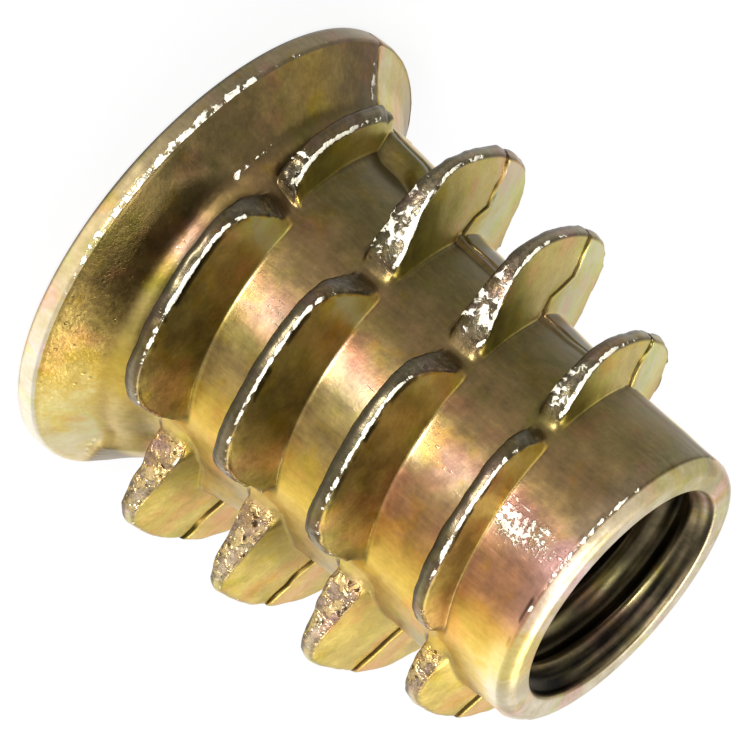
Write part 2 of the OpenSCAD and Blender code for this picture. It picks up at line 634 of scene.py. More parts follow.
def zipper(low: Array, high: Array, start_low: int, start_high: int) -> Array:
    """Triangles that join two rings with different columns.

    Each edge of a ring makes one triangle with the vertex of the other ring that the
    edge's middle has last passed, counted by sorting both rings' middles by angle.

    Args:
        low: angles of the first ring.
        high: angles of the ring that follows it.
        start_low: index of the first ring's first vertex.
        start_high: index of the second ring's first vertex.

    Returns:
        Vertex indices, three a row, facing outwards.
    """
    shifts = [int(np.argmin(ring % 360.0)) for ring in (low, high)]
    rings = [np.roll(ring % 360.0, -shift) for ring, shift in zip((low, high), shifts)]
    middles = [(ring + np.append(ring[1:], ring[0] + 360.0)) / 2 for ring in rings]
    order = np.argsort(np.concatenate(middles), kind="stable")
    from_low = order < len(low)
    i, j = np.cumsum(from_low) - from_low, np.cumsum(~from_low) - ~from_low

    def at(number: Array, start: int, shift: int, count: int) -> Array:
        """Vertex index of a ring's vertex, counted from its smallest angle."""
        return start + (number + shift) % count

    ring_low = (start_low, shifts[0], len(low))
    ring_high = (start_high, shifts[1], len(high))
    a, b = at(i, *ring_low), at(j, *ring_high)
    third = np.where(from_low, at(i + 1, *ring_low), at(j + 1, *ring_high))
    return np.stack([a, third, b], axis=1)


@dataclass(frozen=True)
class Patch:
    """A soft-edged patch of one paint on one zone, which may be limited in height."""

    paint: Paint
    zone: Zone
    share: float
    deg: float
    wide: float
    rise: tuple[float, float] | None = None
    near: tuple[float, float] | None = None

    def at(self, a: Array, z: Array) -> Array:
        """Bell over the angle, times a step up from rise's first height or a bell at near.

        Args:
            a: angles about the axis.
            z: heights.

        Returns:
            The patch's share at each place.
        """
        share = self.share * bell(turned(a, self.deg), self.wide)
        if self.rise:
            share = share * ease(*self.rise, z)
        if self.near:
            share = share * bell(z - self.near[0], self.near[1])
        return share


@dataclass(frozen=True)
class Film:
    """Chromate film thin or thick, what the die left rough, and painted light and shade.

    The fields from core to rim give the tone of one zone each, from dark at 0 to pale
    at 1, at angles round the axis. These tones are partly the film's own colour and partly
    painted light and shade, paler on the side towards the light and darker away from it.
    The casting is palest along its parting lines. One field says how much painted
    highlight lies on the fins' nose-side edges, one gives the middle of the band of
    painted highlight up the core, and patches are the spots of colour.
    """

    core: Knots = ((-169, .34), (-130, .31), (-112, .38), (-95, .5), (-80, .53), (-65, .5),
                   (-50, .64), (-35, .84), (-20, .72), (-6, .64), (8, .78), (18, .84),
                   (22, .82), (60, .6), (105, .45), (150, .52), (186, .8))
    flank: Knots = ((-168, .92), (-155, .84), (-143, .82), (-130, .6), (-120, .58), (-114, .9),
                    (-100, .94), (-93, .68), (-72, .57), (-50, .57), (-36, .6), (-26, .74),
                    (-5, .82), (19, .86), (24, .92), (60, .7), (105, .48), (150, .6), (183, 1.1),
                    (190, 1.1))
    crest: Knots = ((-169, .48), (-145, .4), (-122, .38), (-110, .33), (-90, .28), (-68, .31),
                    (-45, .58), (-34, .74), (-25, .72), (0, .84), (22, .86), (60, .64),
                    (105, .46), (150, .5), (185, .6))
    under: Knots = ((-169, .44), (-157, .46), (-140, .58), (-128, .52), (-102, .34), (-76, .36),
                    (-60, .56), (-47, .76), (-30, .93), (-10, .98), (18, .9), (24, .86),
                    (60, .66), (105, .42), (150, .5), (185, .95), (190, .95))
    neck: Knots = ((-169, .5), (-130, .5), (-110, .52), (-95, .62), (-85, .76), (-70, .74),
                   (-55, .76), (-40, .84), (0, .88), (60, .6), (105, .45), (150, .5), (186, .7))
    rim: Knots = ((-169, .52), (-150, .44), (-119, .4), (-95, .56), (-70, .82), (-43, .95),
                  (-15, 1.0), (19, .95), (60, .7), (105, .5), (150, .54), (188, .68))
    # painted highlight on the fins' nose-side edges, by angle
    painted_brow_glint: Knots = ((-175, 0), (-160, .2), (-150, .6), (-140, .95), (-121, 1), (-116, 0),
                         (-104, 0), (-98, .7), (-92, .95), (-74, .95), (-62, .6), (-50, .3),
                         (-34, .25), (0, .3), (60, .2), (105, .6), (150, .4))
    # middle of the band of painted highlight up the core
    highlight_deg: float = -85.0
    patches: tuple[Patch, ...] = (
        Patch(Paint.BLUSH, Zone.PLAIN, 0.9, -62, 13, rise=(7.6, 8.6)),
        Patch(Paint.BLUSH, Zone.PLAIN, 0.6, -78, 14, rise=(9.6, 11.2)),
        Patch(Paint.BLUSH, Zone.PLAIN, 0.5, -68, 9, near=(5.2, 0.7)),
        # pink of the band of painted highlight
        Patch(Paint.BLUSH, Zone.PLAIN, 0.7, -90, 5),
        Patch(Paint.BLUSH, Zone.PLAIN, 0.25, -110, 12),
        Patch(Paint.BLUSH, Zone.PLAIN, 0.6, -52, 8, near=(7.9, 0.7)),
        Patch(Paint.BLUSH, Zone.FLANK, 0.7, 26, 6),
        Patch(Paint.LEAF, Zone.FLANK, 1.0, -131, 11),
        Patch(Paint.LEAF, Zone.PLAIN, 1.0, -121, 9, near=(10.1, 0.6)),
        Patch(Paint.LEAF, Zone.PLAIN, 0.5, -55, 12, near=(1.7, 0.2)),
        Patch(Paint.LEAF, Zone.PLAIN, 0.6, -73, 5, rise=(8.0, 5.0)),
        Patch(Paint.LEAF, Zone.UNDER, 0.3, -190, 20),
        Patch(Paint.GILT, Zone.PLAIN, 1.0, -40, 13),
        Patch(Paint.GILT, Zone.PLAIN, 0.5, -50, 9, rise=(3.0, 5.0)),
        Patch(Paint.GILT, Zone.FLANK, 1.0, -112, 9),
        Patch(Paint.GILT, Zone.UNDER, 0.8, -30, 26),
        Patch(Paint.GILT, Zone.UNDER, 0.5, -78, 16),
        Patch(Paint.GILT, Zone.UNDER, 0.5, -140, 6),
    )

    def tone(self, zones: dict[Zone, Array], points: Array, r: Array, a: Array) -> Array:
        """Tone of the film, with painted light and shade: each zone's laid over the core's by the
        zone's share.

        Args:
            zones: shares of the zones at every vertex.
            points: places of the vertices.
            r: their radii.
            a: their angles.

        Returns:
            The tone, from dark at 0 to pale at 1.
        """
        z = points[..., 2]
        flank, crest, plain = (zones[zone] for zone in (Zone.FLANK, Zone.CREST, Zone.PLAIN))
        nose = ease(9.6, 11.2, z)
        # painted light and shade as well as film colour: the core's tone round the axis, the nose
        # a little paler past -100 degrees, and paler near its edge on the lit side
        tone = around(a, self.core) + 0.08 * nose * ease(-100.0, -130.0, a)
        tone = tone + 0.16 * ease(12.0, 12.6, z) * ease(-75.0, -45.0, a)
        # painted highlight: a pale band up the core, weaker on the nose
        highlight_lift = 0.06 + 0.05 * bell(z - 8.7, 0.7) - 0.13 * nose
        tone = tone + highlight_lift * plain * bell(a - self.highlight_deg, 7.5)
        tone = tone + 0.09 * ease(11.0, 12.0, z) * ease(-62.0, -45.0, a) * ease(0.0, -20.0, a)
        tone = laid(tone, bell(z - 1.75, 0.25) * plain, around(a, self.neck))
        tone = laid(tone, zones[Zone.UNDER], around(a, self.under))
        # painted shade: the gusset's near face darkened as if in shadow
        gusset = ease(0.0, 3.0, a - line(z, GUSSET_EDGE)) * ease(20.0, 18.0, a)
        gusset = gusset * ease(1.9, 1.5, z) * ease(0.55, 0.62, z) * (1.0 - flank - crest)
        tone = laid(tone, 0.8 * gusset, 0.42)
        tone = laid(tone, flank * 1.4, around(a, self.flank))
        # painted light: the flanks paler near -103 degrees, most on the low turns
        low_turns = line(z, ((2.5, 0.14), (5.2, 0.07), (7.8, -0.05)))
        tone = tone + flank * bell(a + 103.0, 9.0) * low_turns
        tone = laid(tone, crest * 1.3, around(a, self.crest))
        # painted shade: the lee flanks and their corners darkened as if in shadow
        tone = laid(tone, zones[Zone.LEE] * 1.6, 0.16)
        tone = laid(tone, self.left_end(zones, a), 0.6)
        tone = laid(tone, zones[Zone.RIM], around(a, self.rim))
        # painted shade: the nose's flat ring darker on its far side
        tone = laid(tone, zones[Zone.RING], 0.89 - 0.1 * bell(turned(a, 190.0), 40.0))
        # painted highlight: a thin pale line along the fins' nose-side feet, towards the
        # highlight's angle
        tone = tone + 0.09 * zones[Zone.FOOT] * bell(a - self.highlight_deg, 30.0)
        # painted shade: the rim darkened along its lowest edge on the near side
        tone = laid(tone, zones[Zone.RIM] * ease(0.09, 0.04, z) * bell(a + 110.0, 60.0), 0.2)
        # painted shade: the groove along the parting lines darkened as its shadow
        lumps = CastNoise(17).layers(points, 0.3, 2)
        cut = ease(0.35, 0.85, zones[Zone.CRACK] * (1.0 + 0.6 * lumps))
        tone = laid(tone, cut, 0.26 + 0.2 * lumps)
        # painted shade and light in the bore: dark inside, paler towards the thread crests, and
        # the far wall by the mouth painted lit
        lines = CastNoise(23).layers(points * np.array((0.07, 0.07, 1.0)), 0.13, 2)
        lit_bore_mouth = ease(11.2, 12.7, z) * bell(turned(a, 185.0), 38.0)
        bore_shade_and_light = 0.3 + 0.15 * ease(2.75, 2.5, r) + 0.4 * lines + 0.5 * lit_bore_mouth
        tone = laid(tone, zones[Zone.BORE], bore_shade_and_light)
        # painted shade: a dark broken line under the fins' nose-side edges on the near side
        nick = zones[Zone.EDGE_SHADE] * ease(-0.2, 0.3, lumps) * bell(a + 78.0, 22.0)
        return laid(tone, 0.9 * nick, 0.06)

    @staticmethod
    def left_end(zones: dict[Zone, Array], a: Array) -> Array:
        """Share of the torn fin ends on the left, at angles a."""
        return np.clip(-zones[Zone.END], 0.0, 1.0) * bell(a + 22.0, 12.0)

    def paint(self, zones: dict[Zone, Array], points: Array) -> dict[Paint, Array]:
        """Works out the paints.

        Args:
            zones: shares of the zones at every vertex, to which the plain core is added.
            points: places of the vertices.

        Returns:
            The paints, with tone from 0 to 1 and the others as shares.
        """
        r, z = np.hypot(points[..., 0], points[..., 1]), points[..., 2]
        a = np.degrees(np.arctan2(points[..., 1], points[..., 0]))
        end, flank, crest = zones[Zone.END], zones[Zone.FLANK], zones[Zone.CREST]
        under, rim, brow, bore = (
            zones[zone] for zone in (Zone.UNDER, Zone.RIM, Zone.BROW, Zone.BORE))
        plain = np.clip(1.0 - flank - crest - under - rim - bore, 0.0, 1.0)
        zones[Zone.PLAIN] = plain
        left_end = self.left_end(zones, a)
        right_end = np.clip(end, 0.0, 1.0) * bell(a + 127.0, 11.0)

        # painted highlights: beads along the crack on the flange's slope, along the fins'
        # nose-side edges, on the rim's and nose's rounded edges, on the right fin ends and along
        # the neck's edge
        painted_glints = (
            0.8 * under * bell(a + 166.0, 1.6) * ease(5.9, 5.6, r),
            (0.4 + 0.6 * brow) * (brow > 0.3) * around(a, self.painted_brow_glint),
            0.86 * zones[Zone.RIM_EDGE] * bell(a + 98.0, 34.0),
            right_end * np.maximum(brow, 0.55 * crest),
            0.8 * bell(z - 1.47, 0.06) * (1.0 - flank - crest) * bell(a + 108.0, 14.0),
        )
        painted_glint = np.clip(np.max(painted_glints, axis=0), 0.0, 1.0)
        paints = {
            Paint.TONE: self.tone(zones, points, r, a),
            Paint.BLUSH: 0.5 * left_end + 0.5 * plain * right_end,
            Paint.LEAF: 0.35 * flank + 0.3 * plain * ease(-118.0, -135.0, a),
            Paint.GILT: flank * (0.6 * ease(-30.0, -10.0, a) + 0.25 * ease(-26.0, -40.0, a)),
            Paint.PAINTED_GLINT: painted_glint,
            Paint.PITTED: np.maximum(
                0.1 + 0.6 * under * bell(a + 52.0, 20.0) + 0.6 * np.abs(end) + 0.15 * crest
                + 0.7 * left_end, 0.6 * painted_glint),
            # bare metal grey on crests, rims, ring, fin ends and bore, greyer by the nose's edge,
            # and laid on the band of painted highlight
            Paint.BARE_AND_HIGHLIGHT: 0.75 * crest + 0.75 * plain * bell(a - self.highlight_deg, 7.5) + 0.6 * rim
            + 0.25 * np.abs(end) + 0.35 * zones[Zone.RING] + 0.5 * plain * ease(12.0, 12.6, z)
            + 0.7 * bore,
            # painted highlight flecks: where they lie, on the band up the core and most on the
            # nose
            Paint.HIGHLIGHT_SPARK: plain * bell(a - self.highlight_deg, 8.0) * (
                0.35 + 0.65 * bell(z - 11.3, 1.0)),
        }
        for patch in self.patches:
            paints[patch.paint] = paints[patch.paint] + patch.at(a, z) * zones[patch.zone]
        paints[Paint.BLUSH] *= (1.0 - 0.8 * zones[Zone.RING]) * (1.0 - bore)
        return {paint: np.clip(values, 0.0, 1.0) for paint, values in paints.items()}


@dataclass(frozen=True)
class Insert:
    """The whole insert: its skin, built as one closed mesh, and its finish."""

    wall: Wall
    node: str = "insert"
    slot: str = "chromated_zinc"
    thread: OuterThread = OuterThread()
    parting: Parting = Parting()
    bore: InnerThread = InnerThread()
    socket: Socket = Socket()
    film: Film = Film()
    outer_columns: int = 422
    inner_columns: int = 204
    slope_rows: tuple[float, ...] = (0, .035, .08, .13, .18, .24, .3, .36, .41, .46, .51, .56,
                                     .61, .66, .71, .76, .81, .86, .91, .96)
    core_rows: tuple[float, ...] = (.03, .08, .14, .21, .29, .38, .47, .56, .65, .74, .82, .89,
                                    .95)

    def columns(self) -> Array:
        """Angles of the outside's columns, closer where the shape turns sharply.

        Their spacing is the inverse of a density: 1, raised by bells at each fin's
        two ends, at the parting lines and in the seam's gap.

        Returns:
            Rising angles from the seam, one full turn.
        """
        turn = np.linspace(0.0, 360.0, 7201)
        place = turn + self.thread.seam
        density = 1.0 + 2.0 * bell(turned(turn, 0.0), 2.6)
        for gap in np.arange(FINS) * FIN_DEG:
            for side in (-1, 1):
                density += 1.6 * bell(turned(turn, gap + side * 3.8), 2.0)
                density += 1.2 * bell(turned(turn, gap + side * 11.5), 1.6)
        for crack in self.parting.cracks:
            density += 6.0 * bell(turned(place, crack), 0.9)
        total = np.concatenate([[0.0], np.cumsum((density[1:] + density[:-1]) / 2)])
        at = np.arange(self.outer_columns) / self.outer_columns * total[-1]
        return np.interp(at, total, place)

    def outside(self) -> Sheet:
        """Rows of the rim, the slope, the thread and the nose.

        Returns:
            The sheet, from the flange's outer face to the nose's flat end.
        """
        wall, parting = self.wall, self.parting
        sheet = Sheet(self.columns(), parting.sway)
        alpha, far = sheet.alpha, parting.far(sheet.alpha)
        for deg in (-90, -45, 0):
            sheet.add(*wall.rim_edge(deg, wall.rim_edge_r), rim=1.0)
        sheet.crack = parting.crack(alpha)
        for z in (0.2, 0.32):
            sheet.add(wall.rim_r - parting.edge_cut * sheet.crack, z, rim=1.0)
        for deg in (0, 28, 55):
            r, z = wall.rim_edge(deg, wall.rim_h - wall.rim_edge_r)
            sheet.add(r - parting.edge_cut * sheet.crack, z - 0.02 * sheet.crack,
                      rim=1.0, rim_edge=1.0)
        low = wall.slope_start[1] + 0.02 - 0.03 * far
        for turn in range(self.thread.turns):
            low = self.turn_rows(sheet, turn, low)
        top = np.full_like(alpha, wall.nose_start)
        for t in (.12, .25, .38, .5, .6, .7, .79, .87, .93, .965):
            z = low + (top - low) * t
            sheet.add(wall.skin(alpha, z, parting), z, nick=float(t > 0.96))
        sheet.crack = 0.0
        flat_r = wall.nose_r - wall.nose_edge_r
        edge = wall.skin(alpha, top, parting)
        bend = edge - 0.1, top + 0.27
        end = np.full_like(alpha, flat_r - 0.05), np.full_like(alpha, wall.length)
        sheet.corner((edge, top), bend, end, (0, .06), rim_edge=0.85)
        sheet.corner((edge, top), bend, end, (.18, .36, .54, .72, .88, 1), ring=0.9)
        for inset in (0.07, 0.15, 0.22):
            sheet.add(flat_r - inset, wall.length, ring=1.0)
        return sheet

    def turn_rows(self, sheet: Sheet, turn: int, low: Array) -> Array:
        """Adds the rows of one turn: core, foot, flank, crest, flank and foot.

        Args:
            sheet: the sheet that takes the rows.
            turn: number of the turn, from 0.
            low: height at every column where the last turn's rows ended.

        Returns:
            The height at every column where this turn's rows end.
        """
        thread, wall, parting = self.thread, self.wall, self.parting
        alpha = sheet.alpha
        fins = thread.along(alpha, turn, wall, parting)
        lee, nose = (math.tan(math.radians(d)) for d in (thread.lee_flank, thread.nose_flank))
        half = thread.crest_w / 2
        present = 1.0 - fins.flat
        cut = parting.edge_cut * sheet.crack * present

        def foot(side: int) -> Edge:
            """Corner between the core and a flank."""
            tan = nose if side > 0 else lee
            z = fins.middle
            for _ in range(2):
                r = wall.skin(alpha, z, parting)
                z = fins.middle + side * (half + (fins.full_r - r) * tan - cut)
            return wall.skin(alpha, z, parting), z

        def brow(side: int) -> Edge:
            """Corner between a flank and the crest."""
            tan, back = (nose, 0.25) if side > 0 else (lee, 0.12)
            reach = half + (fins.full_r - fins.crest_r) * tan - back * fins.flat - cut
            z = fins.middle + side * reach
            flat_r = wall.skin(alpha, z, parting)
            return np.maximum(flat_r + fins.height, fins.crest_r * present), z

        foot_a, brow_a, brow_b, foot_b = foot(-1), brow(-1), brow(1), foot(1)
        foot_b = foot_b[0], np.minimum(foot_b[1], wall.nose_start - 0.16)
        start = foot_a[1] - np.minimum(thread.foot_r, 0.3 * (foot_a[1] - low))
        span = np.maximum(start - low, 0.02)
        for t in self.core_rows if turn else self.slope_rows:
            z = low + span * t
            sheet.add(wall.skin(alpha, z, parting), z,
                      under=ease(wall.neck_z + 0.1, wall.neck_z - 0.15, z))
        before = wall.skin(alpha, start, parting), start
        lee_a, flank_b = (toward(*way, thread.foot_r) for way in (
            (foot_a, brow_a), (foot_b, brow_b)))
        lee_b, crest_a, crest_b, flank_a = (toward(*way, thread.corner_r) for way in (
            (brow_a, foot_a), (brow_a, brow_b), (brow_b, brow_a), (brow_b, foot_b)))
        sheet.corner(before, foot_a, lee_a, (0, .33, .66, 1), lee=0.5 * present)
        sheet.between(lee_a, lee_b, (.33, .66), lee=present, end=fins.end)
        sheet.corner(lee_b, brow_a, crest_a, (0, .5, 1), crest=present, lee=0.35 * present,
                     end=fins.end)
        sheet.add((brow_a[0] + brow_b[0]) / 2 + 0.015 * present, (brow_a[1] + brow_b[1]) / 2,
                  crest=present, end=fins.end)
        round_brow = crest_b, brow_b, flank_a
        sheet.corner(*round_brow, (0,), crest=present, brow=0.1 * present, end=fins.end)
        sheet.corner(*round_brow, (.33, .66), crest=0.6 * present, brow=present, end=fins.end)
        sheet.corner(*round_brow, (1,), flank=present, nick=present, end=0.5 * fins.end)
        sheet.between(flank_a, flank_b, (.04,), flank=present, nick=0.7 * present)
        sheet.between(flank_a, flank_b, (.09, .22, .36, .5, .64, .8), flank=present)
        z_after = foot_b[1] + np.minimum(thread.foot_r, 0.54 * (wall.nose_start - foot_b[1]))
        round_foot = flank_b, foot_b, (wall.skin(alpha, z_after, parting), z_after)
        sheet.corner(*round_foot, (0, .33), flank=present)
        sheet.corner(*round_foot, (.66,), foot=present)
        sheet.corner(*round_foot, (1,))
        return z_after

    def inside(self) -> Sheet:
        """Rows of the nose's flat end, the bore, the socket and the flange's face.

        Returns:
            The sheet, from the nose down to the flange's outer face.
        """
        wall, bore, socket = self.wall, self.bore, self.socket
        share = np.arange(self.inner_columns) / self.inner_columns
        sheet = Sheet(bore.hidden_deg + 360.0 * share)
        alpha, top, low = sheet.alpha, wall.length, socket.depth
        floor, full = low + 0.02, top - 0.02
        for r, drop in bore.lip_rows:
            sheet.add(r, top - drop, ring=1.0)
        fall = ease(0.975, 1.0, share)
        first = full - 0.1 - bore.pitch * (1.0 - share + 0.999 * fall * share)

        def thread_row(z: Array) -> None:
            """Adds a row of the bore at height z."""
            bevel = bore.mouth_r + 0.45 * (z - top)
            sheet.add(soft_max(bore.radius(alpha, z, low, full), bevel, 0.03), z, bore=1.0)

        for t in (.0, .05, .12, .2, .28, .36, .44, .52, .6, .68, .76, .84, .92):
            thread_row(top - 0.03 + (first - top + 0.03) * t)
        for n in range(int((full - 0.1 - bore.pitch - floor) // bore.pitch)):
            for row in bore.near_rows if n < 3 else bore.deep_rows:
                thread_row(np.maximum(first - bore.pitch * (n + row), floor + 0.02))
        last = np.maximum(sheet.z[-1], floor + 0.02)
        for t in (.25, .5, .75, .9, 1.0):
            thread_row(last + (floor - last) * t)
        hexagon, ring = socket.radius(alpha), sheet.r[-1]
        sheet.add(ring + 0.015, low, bore=1.0)
        for t in (.3, .6, .9, .985):
            sheet.add(ring + (hexagon - ring) * t, low, bore=1.0)
        lip = (socket.mouth_r - hexagon) / 2
        for t in (0, .01, .06, .25, .5, .75, .93, .985, 1):
            sheet.add(hexagon, (low - 0.02) * (1 - t) + lip * t, bore=1.0 - ease(.3, 1, t))
        for t in (.5, .92):
            sheet.add(hexagon + (socket.mouth_r - hexagon) * t, lip * (1 - t))
        for r in (socket.mouth_r + 0.03, 4.2, 4.9, 5.5, 5.75):
            sheet.add(r, 0.0)
        return sheet

    def relief(self, points: Array, zones: dict[Zone, Array], faces_out: Array) -> Array:
        """Moves the vertices along their normals by the relief of a rough casting.

        Args:
            points: places, rows first.
            zones: shares of the zones at every vertex.
            faces_out: outward normals at every vertex.

        Returns:
            The moved places.
        """
        coarse = CastNoise(3).layers(points, 1.5, 2)
        medium = CastNoise(7).layers(points, 0.42, 2)
        fine = CastNoise(11).layers(points, 0.2, 1)
        crest, end, brow = zones[Zone.CREST], np.abs(zones[Zone.END]), zones[Zone.BROW]
        shift = 0.016 * coarse + (0.006 + 0.018 * crest + 0.014 * end) * medium
        shift = shift + (0.01 * crest + 0.05 * brow * end) * fine
        z = points[..., 2]
        keep = ease(0.0, 0.15, z) * ease(self.wall.length, self.wall.length - 0.12, z)
        keep = keep * (1.0 - 0.8 * zones[Zone.BORE])
        return points + faces_out * (shift * keep)[..., None]

    def build(self) -> bpy.types.Object:
        """Joins both sheets into one closed mesh.

        Returns:
            The insert's object, with one attribute for each paint.
        """
        places, paints, quads, rings = [], [], [], []
        offset = 0
        for sheet in (self.outside(), self.inside()):
            points = sheet.points()
            zones = {zone: np.array(rows) for zone, rows in sheet.zones.items()}
            across = np.roll(points, -1, axis=1) - np.roll(points, 1, axis=1)
            out = np.cross(across, np.gradient(points, axis=0))
            out /= np.maximum(np.linalg.norm(out, axis=-1, keepdims=True), 1e-9)
            points = self.relief(points, zones, out)
            index = offset + np.arange(points[..., 0].size).reshape(points.shape[:2])
            after = np.roll(index, -1, axis=1)
            corners = (index[:-1], after[:-1], after[1:], index[1:])
            quads.append(np.stack(corners, axis=-1).reshape(-1, 4))
            places.append(points.reshape(-1, 3))
            paints.append(self.film.paint(zones, points))
            rings.append((index[0, 0], index[-1, 0], sheet.alpha))
            offset += index.size
        (first_a, last_a, alpha_a), (first_b, last_b, alpha_b) = rings
        tris = np.concatenate([zipper(alpha_a, alpha_b, last_a, first_b),
                               zipper(alpha_b, alpha_a, last_b, first_a)])
        mesh = bpy.data.meshes.new(f"{self.node}_skin")
        self.fill(mesh, np.concatenate(places) * MM, np.concatenate(quads), tris)
        for paint in Paint:
            values = np.concatenate([sheet_paints[paint].ravel() for sheet_paints in paints])
            attribute = mesh.attributes.new(paint.value, "FLOAT", "POINT")
            attribute.data.foreach_set("value", values.astype(np.float32))
        piece = bpy.data.objects.new(f"{self.node}_skin", mesh)
        bpy.context.scene.collection.objects.link(piece)
        LOG.info("%s: %d vertices, %d faces", piece.name, len(mesh.vertices), len(mesh.polygons))
        return piece

    @staticmethod
    def fill(mesh: bpy.types.Mesh, points: Array, quads: Array, tris: Array) -> None:
        """Puts vertices, quads and triangles into a mesh and shades it smooth.

        Args:
            mesh: the empty mesh.
            points: vertex places in metres.
            quads: four indices a row.
            tris: three indices a row.
        """
        mesh.vertices.add(len(points))
        mesh.vertices.foreach_set("co", points.astype(np.float32).ravel())
        loops = np.concatenate([quads.ravel(), tris.ravel()])
        sizes = np.concatenate([np.full(len(quads), 4), np.full(len(tris), 3)])
        mesh.loops.add(len(loops))
        mesh.loops.foreach_set("vertex_index", loops.astype(np.int32))
        mesh.polygons.add(len(sizes))
        mesh.polygons.foreach_set(
            "loop_start", np.concatenate([[0], np.cumsum(sizes)[:-1]]).astype(np.int32))
        mesh.polygons.foreach_set("use_smooth", np.ones(len(sizes), bool))
        mesh.update(calc_edges=True)
        mesh.validate()

    def dress(self, piece: bpy.types.Object, finish: "ChromatedZinc") -> None:
        """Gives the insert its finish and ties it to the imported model.

        Args:
            piece: the insert's object.
            finish: the chromated casting's finish.
        """
        piece.data.materials.append(finish.material())
        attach(piece, "root")
        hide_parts(self.node)


class Signal:
    """One number or colour in a shader, with arithmetic that adds Math nodes."""

    def __init__(self, net: "Net", socket: bpy.types.NodeSocket) -> None:
        """Wraps an output socket of a node in a net."""
        self.net, self.socket = net, socket

    def math(self, operation: str, *others: "Signal | float") -> "Signal":
        """Runs a Math node on this value and others, in order."""
        return self.net.math(operation, self, *others)

    def __add__(self, other: "Signal | float") -> "Signal":
        """This plus other."""
        return self.math("ADD", other)

    def __sub__(self, other: "Signal | float") -> "Signal":
        """This less other."""
        return self.math("SUBTRACT", other)

    def __rsub__(self, other: "Signal | float") -> "Signal":
        """Other less this."""
        return self.net.math("SUBTRACT", other, self)

    def __mul__(self, other: "Signal | float") -> "Signal":
        """This times other."""
        return self.math("MULTIPLY", other)

    __radd__ = __add__
    __rmul__ = __mul__

    def top(self, other: "Signal | float") -> "Signal":
        """The larger of this and other."""
        return self.math("MAXIMUM", other)

    def low(self, other: "Signal | float") -> "Signal":
        """The smaller of this and other."""
        return self.math("MINIMUM", other)

    def step(self, low: float, high: float) -> "Signal":
        """Smooth step of this value from 0 at low to 1 at high."""
        return self.net.node("ShaderNodeMapRange", {"interpolation_type": "SMOOTHSTEP"},
                             {"Value": self, "From Min": low, "From Max": high})


class Net:
    """A material's node tree, filled by expressions."""

    def __init__(self, material: bpy.types.Material) -> None:
        """Empties the material's tree and keeps it."""
        material.use_nodes = True
        self.tree = material.node_tree
        self.tree.nodes.clear()

    def add(self, kind: str, settings: dict[str, Any] | None = None,
            inputs: dict[str | int, Any] | None = None) -> bpy.types.Node:
        """Adds a node.

        Args:
            kind: the node's type.
            settings: its properties, set first.
            inputs: values or signals for its sockets, by name or number.

        Returns:
            The node.
        """
        node = self.tree.nodes.new(kind)
        settings = dict(settings or {})
        for number, (place, colour) in enumerate(settings.pop("stops", ())):
            stops = node.color_ramp.elements
            stop = stops[number] if number < 2 else stops.new(place)
            stop.position, stop.color = place, colour
        for name, value in settings.items():
            setattr(node, name, value)
        for name, value in (inputs or {}).items():
            socket = node.inputs[name]
            if isinstance(value, Signal):
                self.tree.links.new(value.socket, socket)
            else:
                socket.default_value = value
        return node

    def node(self, kind: str, settings: dict[str, Any] | None = None,
             inputs: dict[str | int, Any] | None = None, output: str | int = 0) -> Signal:
        """Adds a node and returns one of its outputs."""
        return Signal(self, self.add(kind, settings, inputs).outputs[output])

    def math(self, operation: str, *values: Signal | float) -> Signal:
        """Adds a Math node on up to three values."""
        return self.node("ShaderNodeMath", {"operation": operation}, dict(enumerate(values)))

    def paint(self, paint: Paint) -> Signal:
        """Reads a paint from the mesh."""
        return self.node("ShaderNodeAttribute", {"attribute_name": paint.value}, None, "Fac")

    def blend(self, share: Signal | float, a: Any, b: Any, how: str = "MIX") -> Signal:
        """Mixes colours a and b by a share.

        Args:
            share: 0 for a, 1 for b.
            a: first colour or signal.
            b: second colour or signal.
            how: the way b is laid on, such as MIX or MULTIPLY.

        Returns:
            The mixed colour.
        """
        return self.node("ShaderNodeMix", {"data_type": "RGBA", "blend_type": how},
                         {0: share, 6: a, 7: b}, 2)

    def ramp(self, value: Signal, stops: tuple[tuple[float, tuple], ...]) -> Signal:
        """Colour at a value, from stops of place and colour."""
        return self.node("ShaderNodeValToRGB", {"stops": stops}, {"Fac": value}, "Color")

    def finish(self, shader: Signal) -> None:
        """Makes a shader the material's surface."""
        self.add("ShaderNodeOutputMaterial", None, {"Surface": shader})

    def noise(self, place: Signal, size: float, detail: float = 2.0, rough: float = 0.5,
              bend: float = 0.0) -> Signal:
        """Noise whose lumps are about size millimetres across, from 0 to 1."""
        return self.node("ShaderNodeTexNoise", None, {
            "Vector": place, "Scale": 1.0 / size, "Detail": detail, "Roughness": rough,
            "Distortion": bend}, "Fac")

    def cells(self, place: Signal, size: float) -> Signal:
        """Distance to the nearest of scattered points, in units of size."""
        return self.node("ShaderNodeTexVoronoi", None,
                         {"Vector": place, "Scale": 1.0 / size}, "Distance")


def tint(red: int, green: int, blue: int) -> tuple[float, float, float, float]:
    """A colour written as it looks, 0 to 255, in the shader's linear light.

    Args:
        red: red share.
        green: green share.
        blue: blue share.

    Returns:
        Linear red, green and blue with a full alpha: each share to the power 2.4
        after an offset of 0.055, or over 12.92 near black.
    """
    shares = [c / 255 for c in (red, green, blue)]
    linear = [c / 12.92 if c < 0.04045 else ((c + 0.055) / 1.055) ** 2.4 for c in shares]
    return (*linear, 1.0)


